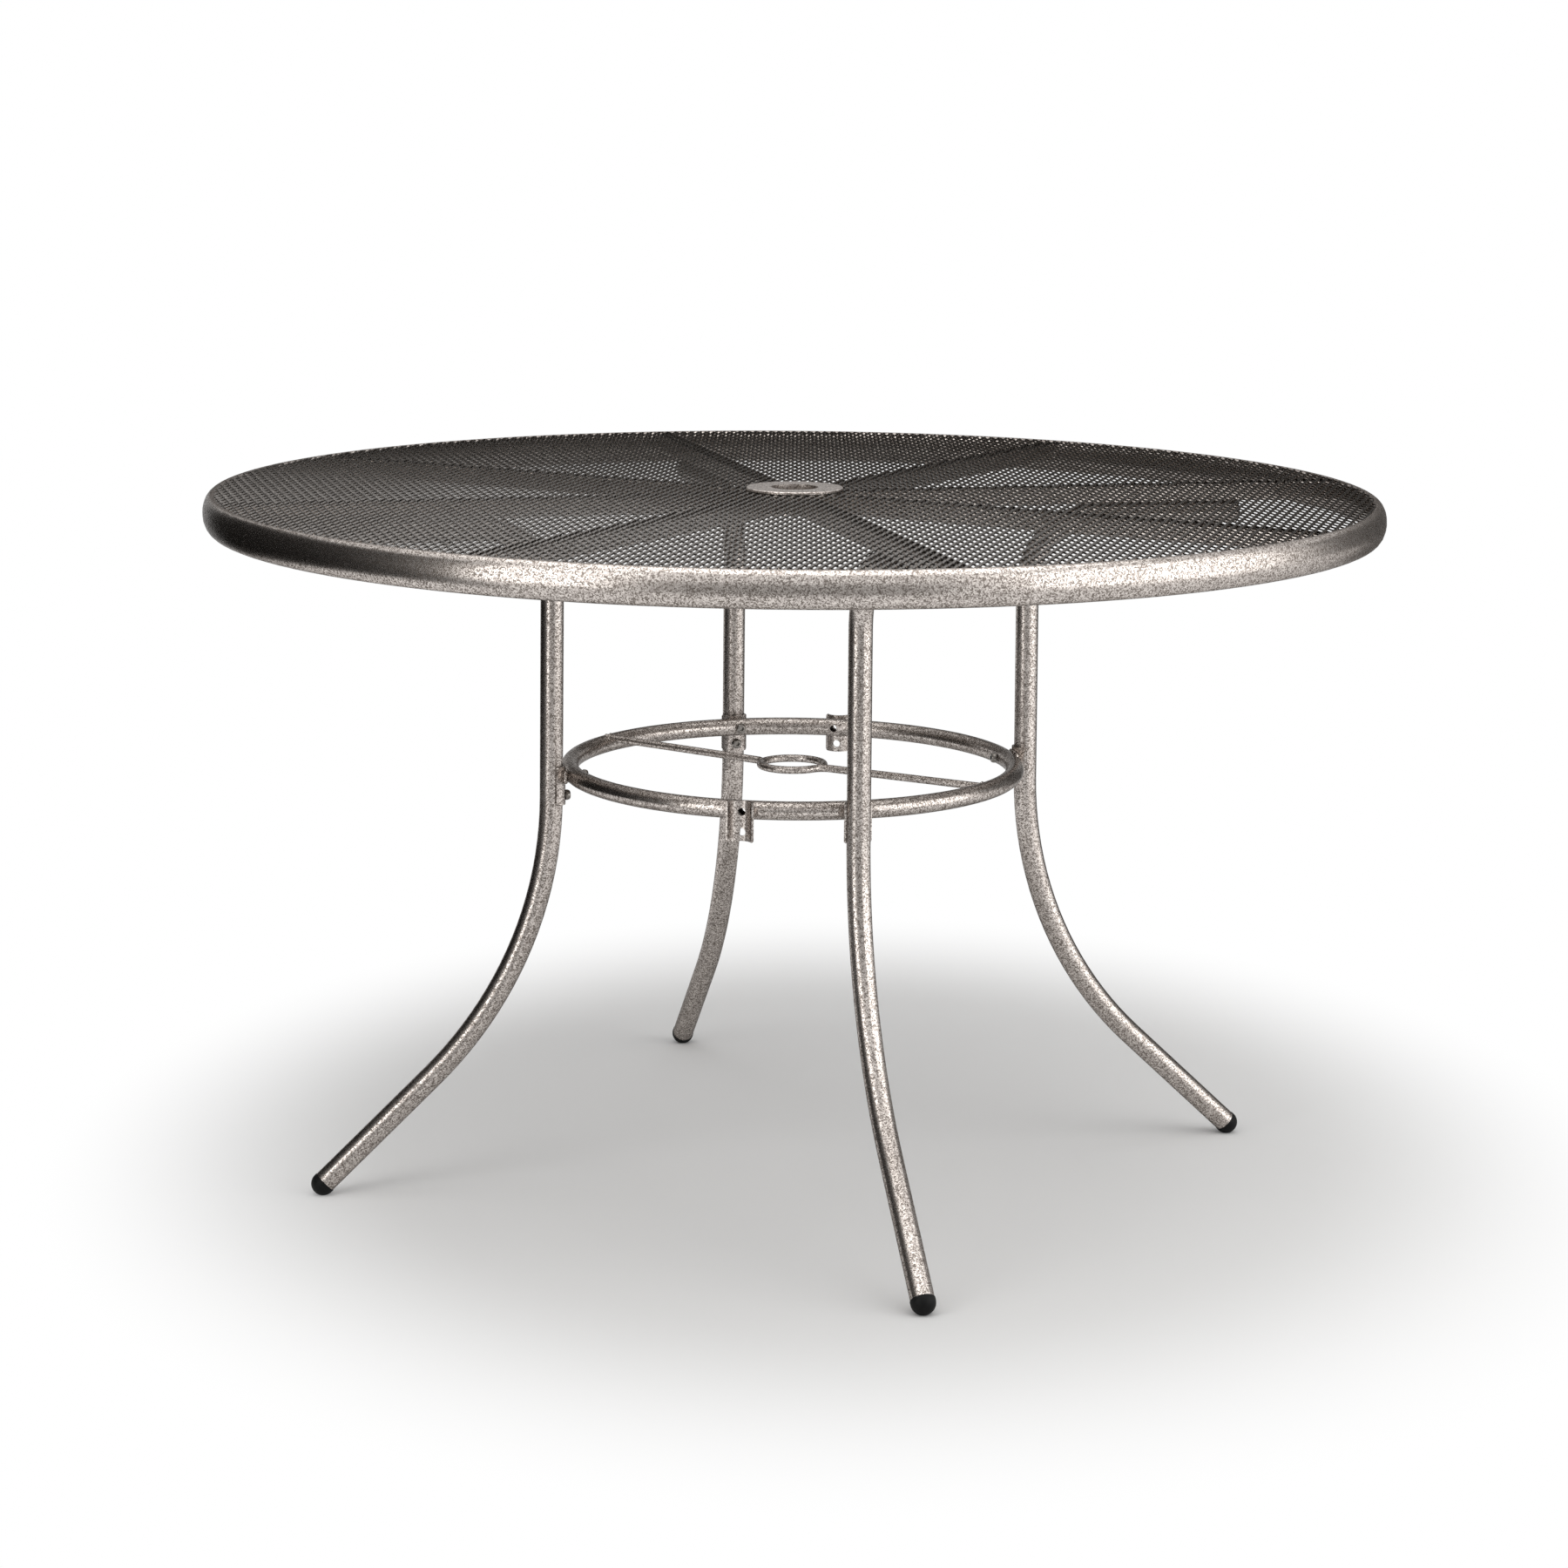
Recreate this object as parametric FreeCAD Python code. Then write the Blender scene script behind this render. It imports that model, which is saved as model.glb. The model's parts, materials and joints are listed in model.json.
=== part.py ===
import FreeCAD, Part

import math
import os

# Round umbrella table for a patio: an oval-tube rim round a steel mesh top, eight
# radial ribs under the mesh, four bent-tube legs, and a hoop brace with an eye for
# the umbrella pole. Millimetres, +Z up, origin on the floor under the centre.
# Every leg, rib and saddle is drawn once at azimuth 0, along +X, and then turned.

# Overall
top_diameter = 1219.2
table_height = 728.0

# Rim: an upright oval tube rolled into a ring
rim_height = 36.0
rim_width = 20.0
rim_wall = 1.5

# Mesh sheet, a little below the crown of the rim
mesh_drop = 0.6
mesh_thickness = 1.8
mesh_cell_width = 49.0
mesh_cell_length = 180.0
mesh_strand = 9.0
mesh_border = 4.0
mesh_turn = -15.0
smallest_opening = 0.15

# Ribs under the mesh, square tube
rib_count = 8
rib_size = 19.0
rib_wall = 1.5
rib_corner_radius = 2.0

# Hub: a short tube for the umbrella pole with a cover ring over the mesh
pole_bore_diameter = 49.0
hub_tube_wall = 2.5
hub_tube_drop = 3.0
hub_ring_diameter = 101.0
hub_ring_thickness = 2.6
hub_ring_rise = 0.8

# Legs, round tube
leg_count = 4
leg_diameter = 24.0
leg_wall = 1.5
leg_lean = 0.5
top_bend_radius = 74.0
arm_end_radius = 489.0
knee_height = 239.0
knee_bend_radius = 405.0
foot_splay = 46.8

# Foot caps and the plugs in the arm ends
cap_radius = 12.5
cap_flange = 2.5
cap_flat_depth = 1.0
plug_stem_length = 14.0
plug_stem_wall = 2.0
plug_head_thickness = 2.0

# Hoop brace, round tube
hoop_radius = 234.5
hoop_height = 435.0
hoop_tube_diameter = 19.0
hoop_wall = 1.4

# Cross rod through the hoop, bent into an eye for the pole
rod_diameter = 7.9
rod_azimuth = 135.0
rod_rise = 2.0
stub_climb = 5.0
stub_gap = 2.5
eye_weld_radius = 3.0
eye_bore_diameter = 59.0
eye_neck_radius = 15.0
eye_mouth_gap = 0.4

# Saddles on the outside of the hoop
saddle_height = 41.0
saddle_top_rise = 2.0
saddle_wall = 2.2
saddle_wrap = 80.0
saddle_corner_radius = 4.0
spare_saddle_azimuths = (63.5, 243.5)
weld_width = 16.0
weld_height = 12.0

# Bolts that hold the legs to the saddles, and their inserts in the legs
bolt_diameter = 6.35
bolt_head_flats = 11.1
bolt_head_thickness = 5.0
bolt_hole_clearance = 1.4
bolt_pitch = 20.5
bolt_reach = 11.0
insert_diameter = 9.0
insert_length = 12.0

# Screws that hold the leg arms to the ribs
screw_diameter = 4.8
screw_head_diameter = 9.5
screw_head_thickness = 3.2
screw_bite = 6.0
screw_inset = 22.0
screw_spacing = 100.0

# Clearances
slide_gap = 0.3
seat_gap = 0.15

# Sizes that follow
leg_r = leg_diameter / 2
hoop_r = hoop_tube_diameter / 2
rod_r = rod_diameter / 2
pole_r = pole_bore_diameter / 2
rim_mid_radius = top_diameter / 2 - rim_width / 2
rim_mid_height = table_height - rim_height / 2
mesh_top = table_height - mesh_drop
mesh_bottom = mesh_top - mesh_thickness
rib_bottom = mesh_bottom - rib_size
arm_height = rib_bottom - seat_gap - leg_r
hub_tube_r = pole_r + hub_tube_wall
hub_ring_bottom = mesh_top + hub_ring_rise
saddle_inner_r = leg_r + slide_gap
leg_radius_at_hoop = hoop_radius + hoop_r + seat_gap + saddle_wall + saddle_inner_r
saddle_top = hoop_height + hoop_r + saddle_top_rise
saddle_bottom = saddle_top - saddle_height
bolt_hole_diameter = bolt_diameter + bolt_hole_clearance
lean = math.radians(leg_lean)
splay = math.radians(foot_splay)
eye_r = eye_bore_diameter / 2 + rod_r


def vec(x, y, z):
    return FreeCAD.Vector(x, y, z)


X_AXIS = vec(1, 0, 0)
Y_AXIS = vec(0, 1, 0)
Z_AXIS = vec(0, 0, 1)
ORIGIN = vec(0, 0, 0)


def turned(shape, azimuth):
    """A copy of the shape turned about the table's axis."""
    copy = shape.copy()
    copy.rotate(ORIGIN, Z_AXIS, azimuth)
    return copy


def leg_line_radius(height):
    """Radius of the leg's axis on its straight, leaning part."""
    return leg_radius_at_hoop + (hoop_height - height) * math.tan(lean)


def rounded_path(points, radii):
    """Straight runs through the points, with a tangent arc at each inner point."""
    edges = []
    start = points[0]
    for before, corner, after, radius in zip(points, points[1:], points[2:], radii):
        to_before = (before - corner).normalize()
        to_after = (after - corner).normalize()
        half = to_before.getAngle(to_after) / 2
        reach = radius / math.tan(half)
        enter = corner + to_before * reach
        leave = corner + to_after * reach
        middle_way = (to_before + to_after).normalize()
        middle = corner + middle_way * (radius / math.sin(half) - radius)
        edges.append(Part.LineSegment(start, enter).toShape())
        edges.append(Part.Arc(enter, middle, leave).toShape())
        start = leave
    edges.append(Part.LineSegment(start, points[-1]).toShape())
    return Part.Wire(edges)


def disc(centre, normal, radius):
    circle = Part.Circle(centre, normal, radius).toShape()
    return Part.Face(Part.Wire([circle]))


def swept(path, radius):
    """A round bar along the path."""
    first = path.OrderedEdges[0]
    start = first.valueAt(first.FirstParameter)
    way = first.tangentAt(first.FirstParameter)
    return path.makePipe(disc(start, way, radius))


def hexagon_bar(flats, length, base, way):
    """A six-sided bar standing on a base point, with two flats level with the floor."""
    across = flats / math.sqrt(3)
    side = way.cross(Z_AXIS)
    if side.Length < 0.5:
        side = X_AXIS
    side.normalize()
    up = way.cross(side)
    points = []
    for k in range(7):
        turn = math.radians(60 * k)
        points.append(base + side * (across * math.cos(turn)) + up * (across * math.sin(turn)))
    return Part.Face(Part.makePolygon(points)).extrude(way * length)


# Rim and top

def oval_ring(height, width):
    """The solid ring swept by an upright oval."""
    centre = vec(rim_mid_radius, 0, rim_mid_height)
    top = centre + Z_AXIS * (height / 2)
    side = centre + X_AXIS * (width / 2)
    oval = Part.Ellipse(top, side, centre).toShape()
    return Part.Face(Part.Wire([oval])).revolve(ORIGIN, Z_AXIS, 360)


def make_rim():
    outside = oval_ring(rim_height, rim_width)
    inside = oval_ring(rim_height - 2 * rim_wall, rim_width - 2 * rim_wall)
    return outside.cut(inside)


def oval_inner_radius(height):
    """Radius of the rim's inner face at a height."""
    share = (height - rim_mid_height) / (rim_height / 2)
    return rim_mid_radius - rim_width / 2 * math.sqrt(1 - share ** 2)


def mesh_radius():
    return oval_inner_radius(mesh_bottom) - seat_gap


def diamond(x, y):
    """One opening of the mesh, as a flat face on the sheet's underside."""
    half_width = (mesh_cell_width - mesh_strand) / 2
    half_length = half_width * mesh_cell_length / mesh_cell_width
    points = [
        vec(x + half_width, y, mesh_bottom),
        vec(x, y + half_length, mesh_bottom),
        vec(x - half_width, y, mesh_bottom),
        vec(x, y - half_length, mesh_bottom),
        vec(x + half_width, y, mesh_bottom),
    ]
    return Part.Face(Part.makePolygon(points))


def flat_ring(inner, outer):
    """The face between two circles on the sheet's underside."""
    centre = vec(0, 0, mesh_bottom)
    return disc(centre, Z_AXIS, outer).cut(disc(centre, Z_AXIS, inner))


def mesh_openings(inner, outer):
    """The lattice of openings, those at the edges trimmed to the open field."""
    field = flat_ring(inner, outer)
    full = diamond(0, 0)
    columns = int(outer / (mesh_cell_width / 2)) + 1
    rows = int(outer / (mesh_cell_length / 2)) + 1
    openings = []
    for i in range(-columns, columns + 1):
        for j in range(-rows, rows + 1):
            if (i + j) % 2 == 0:
                continue
            cell = diamond(i * mesh_cell_width / 2, j * mesh_cell_length / 2)
            cell = turned(cell, mesh_turn).common(field)
            for face in cell.Faces:
                if face.Area > smallest_opening * full.Area:
                    openings.append(face)
    return openings


def make_mesh_top():
    """The expanded sheet, with openings coarser than the real ones so that they can be cut."""
    outer = mesh_radius()
    inner = hub_tube_r + slide_gap
    openings = mesh_openings(inner + mesh_border, outer - mesh_border)
    print("mesh openings", len(openings))
    sheet = flat_ring(inner, outer).cut(Part.makeCompound(openings))
    return largest_solid(sheet.extrude(Z_AXIS * mesh_thickness))


def rib_bar(inset, corner_radius):
    """A long square bar along +X with rounded edges, smaller than the rib by the inset."""
    size = rib_size - 2 * inset
    base = vec(pole_r, -size / 2, rib_bottom + inset)
    bar = Part.makeBox(rim_mid_radius - pole_r, size, size, base)
    if corner_radius <= 0:
        return bar
    long_edges = [edge for edge in bar.Edges if edge.BoundBox.XLength > size]
    return bar.makeFillet(corner_radius, long_edges)


def make_rib():
    """A square tube from the hub to the rim, its ends shaped to both."""
    hub = Part.makeCylinder(hub_tube_r, 2 * rib_size, vec(0, 0, rib_bottom - rib_size / 2))
    rib = rib_bar(0, rib_corner_radius).cut(rib_bar(rib_wall, rib_corner_radius - rib_wall))
    rib = rib.cut(hub)
    return largest_solid(rib.cut(oval_ring(rim_height, rim_width)))


def largest_solid(shape):
    return max(shape.Solids, key=lambda solid: solid.Volume)


def make_hub_tube():
    bottom = rib_bottom - hub_tube_drop
    height = hub_ring_bottom - bottom
    tube = Part.makeCylinder(hub_tube_r, height, vec(0, 0, bottom))
    return tube.cut(Part.makeCylinder(pole_r, height, vec(0, 0, bottom)))


def make_hub_ring():
    base = vec(0, 0, hub_ring_bottom)
    ring = Part.makeCylinder(hub_ring_diameter / 2, hub_ring_thickness, base)
    ring = ring.makeChamfer(hub_ring_thickness / 4, top_outer_edges(ring))
    return ring.cut(Part.makeCylinder(pole_r, hub_ring_thickness, base))


def top_outer_edges(shape):
    """The round edge at the top of a plain cylinder."""
    top = shape.BoundBox.ZMax
    return [edge for edge in shape.Edges if edge.BoundBox.ZMin > top - 0.01]


# Legs

def foot_axis():
    """The way down and out along the foot, and the centre of its round end."""
    way = vec(math.sin(splay), 0, -math.cos(splay))
    knee = vec(leg_line_radius(knee_height), 0, knee_height)
    end_height = cap_radius - cap_flat_depth
    run = (knee_height - end_height) / math.cos(splay)
    return way, knee + way * run


def leg_path():
    way, ball = foot_axis()
    points = [
        vec(arm_end_radius, 0, arm_height),
        vec(leg_line_radius(arm_height), 0, arm_height),
        vec(leg_line_radius(knee_height), 0, knee_height),
        ball - way * cap_flange,
    ]
    return rounded_path(points, [top_bend_radius, knee_bend_radius])


def bolt_heights():
    return (hoop_height, hoop_height - bolt_pitch)


def screw_radii():
    outer = arm_end_radius - screw_inset
    return (outer, outer - screw_spacing)


def make_leg():
    path = leg_path()
    leg = swept(path, leg_r).cut(swept(path, leg_r - leg_wall))
    for height in bolt_heights():
        start = vec(leg_line_radius(height) - leg_diameter, 0, height)
        leg = leg.cut(Part.makeCylinder(insert_diameter / 2, leg_diameter, start, X_AXIS))
    for radius in screw_radii():
        start = vec(radius, 0, arm_height - leg_diameter)
        hole_r = screw_diameter / 2 + slide_gap
        leg = leg.cut(Part.makeCylinder(hole_r, 2 * leg_diameter, start))
    return leg


def plug_stem(base, way):
    """The hollow stem that sits in a tube's end, running back from the base point."""
    outer = leg_r - leg_wall - slide_gap
    stem = Part.makeCylinder(outer, plug_stem_length, base, way * -1)
    return stem.cut(Part.makeCylinder(outer - plug_stem_wall, plug_stem_length, base, way * -1))


def make_foot_cap():
    """A round-ended cap on the foot, worn flat where it stands."""
    way, ball = foot_axis()
    tube_end = ball - way * cap_flange
    cap = Part.makeSphere(cap_radius, ball)
    back = Part.makeCylinder(2 * cap_radius, 2 * cap_radius, ball, way * -1)
    collar = Part.makeCylinder(cap_radius, cap_flange, tube_end, way)
    cap = cap.cut(back).fuse(collar).fuse(plug_stem(tube_end, way))
    below = Part.makeBox(2 * top_diameter, 2 * top_diameter, top_diameter)
    below.translate(vec(-top_diameter, -top_diameter, -top_diameter))
    return cap.cut(below).removeSplitter()


def make_arm_plug():
    """The flat plug in the outer end of a leg's arm."""
    end = vec(arm_end_radius, 0, arm_height)
    head = Part.makeCylinder(leg_r, plug_head_thickness, end, X_AXIS)
    head = head.makeFillet(plug_head_thickness / 2, outer_rim_edges(head))
    return head.fuse(plug_stem(end, X_AXIS)).removeSplitter()


def outer_rim_edges(shape):
    """The round edge at the far +X end of a plain cylinder."""
    far = shape.BoundBox.XMax
    return [edge for edge in shape.Edges if edge.BoundBox.XMin > far - 0.01]


# Hoop and saddles

def hoop_bar(radius):
    return Part.makeTorus(hoop_radius, radius, vec(0, 0, hoop_height))


def saddle_azimuths():
    used = [360 / leg_count * k for k in range(leg_count)]
    return used + list(spare_saddle_azimuths)


def upper_bolt_hole():
    """The way of the upper bolt through the hoop, weld and saddle, at azimuth 0."""
    start = vec(hoop_radius - hoop_tube_diameter, 0, hoop_height)
    length = leg_radius_at_hoop - start.x
    return Part.makeCylinder(bolt_hole_diameter / 2, length, start, X_AXIS)


def lower_bolt_hole():
    start = vec(hoop_radius, 0, hoop_height - bolt_pitch)
    length = leg_radius_at_hoop - hoop_radius
    return Part.makeCylinder(bolt_hole_diameter / 2, length, start, X_AXIS)


def make_hoop():
    hoop = hoop_bar(hoop_r).cut(hoop_bar(hoop_r - hoop_wall))
    for azimuth in saddle_azimuths():
        hoop = hoop.cut(turned(upper_bolt_hole(), azimuth))
    return hoop


def saddle_axis_radius():
    """Radius of the saddle's own upright axis, so that it clears the leaning leg."""
    return leg_line_radius(saddle_top)


def saddle_back(extra):
    """A solid bar that is the outside of the saddle."""
    base = vec(saddle_axis_radius(), 0, saddle_bottom - extra)
    height = saddle_height + 2 * extra
    return Part.makeCylinder(saddle_inner_r + saddle_wall, height, base)


def make_saddle():
    """A piece of half pipe that opens outward and takes the leg."""
    axis_x = saddle_axis_radius()
    base = vec(axis_x, 0, saddle_bottom)
    pipe = saddle_back(0).cut(Part.makeCylinder(saddle_inner_r, saddle_height, base))
    reach = 2 * (saddle_inner_r + saddle_wall)
    wrap = math.radians(saddle_wrap)
    corners = [
        vec(axis_x, 0, saddle_bottom),
        vec(axis_x - reach * math.cos(wrap), reach * math.sin(wrap), saddle_bottom),
        vec(axis_x - 2 * reach, reach * math.sin(wrap), saddle_bottom),
        vec(axis_x - 2 * reach, -reach * math.sin(wrap), saddle_bottom),
        vec(axis_x - reach * math.cos(wrap), -reach * math.sin(wrap), saddle_bottom),
        vec(axis_x, 0, saddle_bottom),
    ]
    wedge = Part.Face(Part.makePolygon(corners)).extrude(Z_AXIS * saddle_height)
    saddle = pipe.common(wedge).common(rounded_slab())
    return saddle.cut(upper_bolt_hole()).cut(lower_bolt_hole())


def rounded_slab():
    """A block as wide and tall as the saddle, rounded at its four corners seen from outside."""
    half_width = saddle_inner_r + saddle_wall
    depth = 4 * half_width
    base = vec(saddle_axis_radius() - depth / 2, -half_width, saddle_bottom)
    block = Part.makeBox(depth, 2 * half_width, saddle_height, base)
    corners = []
    for edge in block.Edges:
        if edge.BoundBox.XLength > depth / 2:
            corners.append(edge)
    return block.makeFillet(saddle_corner_radius, corners)


def make_saddle_weld():
    """The weld that fills the corner between the hoop and the back of a saddle."""
    length = saddle_axis_radius() - hoop_radius
    base = vec(hoop_radius, -weld_width / 2, hoop_height - weld_height / 2)
    block = Part.makeBox(length, weld_width, weld_height, base)
    weld = block.cut(hoop_bar(hoop_r)).cut(saddle_back(saddle_height)).cut(inside_of_hoop())
    return largest_solid(weld.cut(upper_bolt_hole()))


def inside_of_hoop():
    """Everything nearer the axis than the hoop's centre line."""
    base = vec(0, 0, hoop_height - weld_height)
    return Part.makeCylinder(hoop_radius + hoop_r / 2, 2 * weld_height, base)


# Cross rod and eye

def eye_path():
    """From the hoop along +X, round the eye clockwise and back to the shank."""
    neck = eye_neck_radius
    neck_x = math.sqrt((eye_r + neck) ** 2 - neck ** 2)
    join = math.atan2(-neck, neck_x)
    mouth = mouth_angle(neck_x)
    height = hoop_height + rod_rise
    centre = vec(0, 0, height)
    shank_start = vec(hoop_radius, 0, height)
    shank_end = vec(neck_x, 0, height)
    neck_centre = vec(neck_x, -neck, height)
    join_point = on_circle(centre, eye_r, join)
    neck_middle = on_circle(neck_centre, neck, (math.pi / 2 + math.pi + join) / 2)
    sweep = 2 * math.pi + join - mouth
    first_half = on_circle(centre, eye_r, join - sweep / 2)
    quarter = on_circle(centre, eye_r, join - sweep / 4)
    last_quarter = on_circle(centre, eye_r, join - 3 * sweep / 4)
    mouth_point = on_circle(centre, eye_r, mouth)
    edges = [
        Part.LineSegment(shank_start, shank_end).toShape(),
        Part.Arc(shank_end, neck_middle, join_point).toShape(),
        Part.Arc(join_point, quarter, first_half).toShape(),
        Part.Arc(first_half, last_quarter, mouth_point).toShape(),
    ]
    return Part.Wire(edges)


def on_circle(centre, radius, angle):
    return centre + vec(radius * math.cos(angle), radius * math.sin(angle), 0)


def mouth_angle(neck_x):
    """Where the eye's end stops, just clear of the bent neck."""
    apart = eye_neck_radius + rod_diameter + eye_mouth_gap
    span = eye_r + eye_neck_radius
    cosine = (eye_r ** 2 + span ** 2 - apart ** 2) / (2 * eye_r * span)
    return math.acos(cosine) - math.atan2(eye_neck_radius, neck_x)


def make_eye_rod():
    rod = swept(eye_path(), rod_r).cut(hoop_bar(hoop_r))
    return turned(largest_solid(rod), rod_azimuth + 180)


def stub_axis():
    """The inner end of the stub rod's axis, and its way out and up to the hoop."""
    base = vec(eye_r + rod_r + stub_gap, 0, hoop_height + rod_rise)
    way = vec(hoop_radius, 0, hoop_height + rod_rise + stub_climb) - base
    return base, way


def make_stub_rod():
    """The straight rod on the other side of the eye, out to the top of the hoop's inside."""
    base, way = stub_axis()
    rod = Part.makeCylinder(rod_r, way.Length, base, way)
    return turned(largest_solid(rod.cut(hoop_bar(hoop_r))), rod_azimuth)


def make_eye_weld():
    """The weld between the eye and the end of the stub rod."""
    base, way = stub_axis()
    length = base.x - eye_r
    weld = Part.makeCylinder(eye_weld_radius, length, base, way * -1)
    eye = Part.makeTorus(eye_r, rod_r, vec(0, 0, hoop_height + rod_rise))
    return turned(largest_solid(weld.cut(eye)), rod_azimuth)


# Fasteners

def make_bolt(height, head_face):
    """A hex bolt pointing outward, its head's face at the given radius."""
    leg_face = leg_line_radius(height) - leg_r
    length = leg_face + bolt_reach - head_face
    start = vec(head_face, 0, height)
    shank = Part.makeCylinder(bolt_diameter / 2, length, start, X_AXIS)
    head_start = vec(head_face - bolt_head_thickness, 0, height)
    head = hexagon_bar(bolt_head_flats, bolt_head_thickness, head_start, X_AXIS)
    return shank.fuse(head)


def make_upper_bolt():
    return make_bolt(hoop_height, hoop_radius - hoop_r - seat_gap)


def make_lower_bolt():
    face = saddle_axis_radius() - saddle_inner_r - saddle_wall - seat_gap
    return make_bolt(hoop_height - bolt_pitch, face)


def make_insert(height):
    """The threaded sleeve in the leg's inner wall."""
    face = leg_line_radius(height) - leg_r
    start = vec(face, 0, height)
    sleeve = Part.makeCylinder(insert_diameter / 2 - seat_gap / 2, insert_length, start, X_AXIS)
    bore_r = bolt_diameter / 2 + seat_gap / 2
    return sleeve.cut(Part.makeCylinder(bore_r, insert_length, start, X_AXIS))


def make_arm_screw(radius):
    """A screw up through the arm into the rib above it."""
    face = arm_height - leg_r - seat_gap
    length = rib_bottom + screw_bite - face
    shank = Part.makeCylinder(screw_diameter / 2, length, vec(radius, 0, face))
    head_base = vec(radius, 0, face - screw_head_thickness)
    head = Part.makeCylinder(screw_head_diameter / 2, screw_head_thickness, head_base)
    return shank.fuse(head)


def cut_rib_for_screws(rib):
    for radius in screw_radii():
        start = vec(radius, 0, rib_bottom - rib_wall)
        hole_r = screw_diameter / 2 + seat_gap / 2
        rib = rib.cut(Part.makeCylinder(hole_r, 3 * rib_wall, start))
    return rib


# Assembly

def leg_azimuths():
    return [360 / leg_count * k for k in range(leg_count)]


def around_legs(shapes):
    """Copies of the shapes at every leg, as one group of solids."""
    solids = []
    for azimuth in leg_azimuths():
        for shape in shapes:
            solids.append(turned(shape, azimuth))
    return Part.makeCompound(solids)


def add_numbered(nodes, name, shape, azimuths):
    for number, azimuth in enumerate(azimuths, start=1):
        nodes["%s_%d" % (name, number)] = turned(shape, azimuth)


def build():
    nodes = {}
    nodes["rim"] = make_rim()
    nodes["mesh_top"] = make_mesh_top()
    nodes["hub_tube"] = make_hub_tube()
    nodes["hub_ring"] = make_hub_ring()

    plain_rib = make_rib()
    drilled_rib = cut_rib_for_screws(plain_rib)
    for number in range(rib_count):
        azimuth = 360 / rib_count * number
        over_leg = any(abs(azimuth - leg) < 0.01 for leg in leg_azimuths())
        rib = drilled_rib if over_leg else plain_rib
        nodes["rib_%d" % (number + 1)] = turned(rib, azimuth)

    add_numbered(nodes, "leg", make_leg(), leg_azimuths())
    add_numbered(nodes, "foot_cap", make_foot_cap(), leg_azimuths())
    add_numbered(nodes, "arm_plug", make_arm_plug(), leg_azimuths())

    nodes["hoop"] = make_hoop()
    saddle = make_saddle()
    weld = make_saddle_weld()
    add_numbered(nodes, "saddle", saddle, leg_azimuths())
    add_numbered(nodes, "spare_saddle", saddle, spare_saddle_azimuths)
    nodes["saddle_welds"] = Part.makeCompound([turned(weld, a) for a in saddle_azimuths()])

    nodes["eye_rod"] = make_eye_rod()
    nodes["stub_rod"] = make_stub_rod()
    nodes["eye_weld"] = make_eye_weld()

    nodes["upper_bolts"] = around_legs([make_upper_bolt()])
    nodes["lower_bolts"] = around_legs([make_lower_bolt()])
    nodes["leg_inserts"] = around_legs([make_insert(height) for height in bolt_heights()])
    nodes["arm_screws"] = around_legs([make_arm_screw(radius) for radius in screw_radii()])
    return nodes


def main():
    os.makedirs("parts", exist_ok=True)
    for name, shape in build().items():
        if not shape.isValid():
            print("not valid:", name)
        shape.exportStep(os.path.join("parts", name + ".step"))
        print(name, len(shape.Solids), round(shape.Volume))


main()
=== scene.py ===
"""Round umbrella table with a mesh top: looks, light and camera."""

import json
import math
import random

import bmesh
import bpy
import numpy as np
from mathutils import Matrix, Vector


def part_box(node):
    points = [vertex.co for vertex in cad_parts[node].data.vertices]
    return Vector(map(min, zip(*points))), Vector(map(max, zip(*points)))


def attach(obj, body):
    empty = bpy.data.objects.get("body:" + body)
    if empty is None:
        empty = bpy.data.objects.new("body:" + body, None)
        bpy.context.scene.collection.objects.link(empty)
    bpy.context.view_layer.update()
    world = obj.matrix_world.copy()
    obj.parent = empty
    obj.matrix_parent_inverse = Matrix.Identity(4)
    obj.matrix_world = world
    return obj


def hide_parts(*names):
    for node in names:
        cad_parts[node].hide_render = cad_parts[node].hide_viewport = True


# The table's sizes are in millimetres, azimuths in degrees, and the set round it in metres
MM = 0.001

# The photograph's axes are the table's own, turned about the upright axis
PHOTO_TURN = math.radians(-14.874)
PHOTO_AXES = Matrix.Rotation(PHOTO_TURN, 3, "Z")

# Expanded metal of the top: one opening with its strands, and the sheet's edges
STRAND_THICKNESS = 1.6
STRAND_WIDTH = 3.3
STRAND_TWIST = 0.45
CELL_WIDTH = 9.13
CELL_LENGTH = 34.1
MESH_EDGE = 598.0
MESH_HOLE = 27.6

# The blunt ends of an opening: how far each runs into the crossing, and half its width
TIP_REACH = 1.2
TIP_HALF = 0.45

# Hoop and saddles, as in the solids
HOOP_RADIUS = 234.5
HOOP_TUBE = 9.5
HOOP_HEIGHT = 435.0
SADDLE_AXIS = 258.55
SADDLE_OUTER = 14.5
LEG_AZIMUTHS = (0, 90, 180, 270)
SADDLE_AZIMUTHS = (*LEG_AZIMUTHS, 63.5, 243.5)

# Bolts: the radius of the face under each head, its height, and how far the shank runs out
UPPER_BOLT = (224.85, 435.0, 32.8)
LOWER_BOLT = (243.9, 414.5, 13.9)

# A bolt's domed head with its straight rim, flat crown and socket, and its shank
HEAD_WIDTH = 11.1
HEAD_DEPTH = 5.0
HEAD_RIM = 0.9
CROWN_RADIUS = 3.4
DOME_STEPS = 12
SOCKET_FLATS = 4.8
SOCKET_DEPTH = 3.4
SHANK_RADIUS = 3.175
SHANK_CHAMFER = 0.8
SHANK_TIP_SHARE = 0.75
BOLT_SIDES = 36

# Ribs, hub, rim and the two rods. Each pair is a length outward, then one upward
RIB_AZIMUTHS = tuple(range(0, 360, 45))
HALF_RIB_TURN = 22.5
RIB_HALF = 9.5
RIM_MIDDLE = (599.6, 710.0)
RIM_HALF = (10.0, 18.0)
HUB_TUBE = 27.0
ROD_RADIUS = 3.95
ROD_HEIGHT = 437.0
EYE_RADIUS = 33.45
EYE_SHANK_AZIMUTH = 315.0
STUB_AZIMUTH = 135.0
STUB_START = 39.9
STUB_END = (229.8, 441.8)

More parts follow.
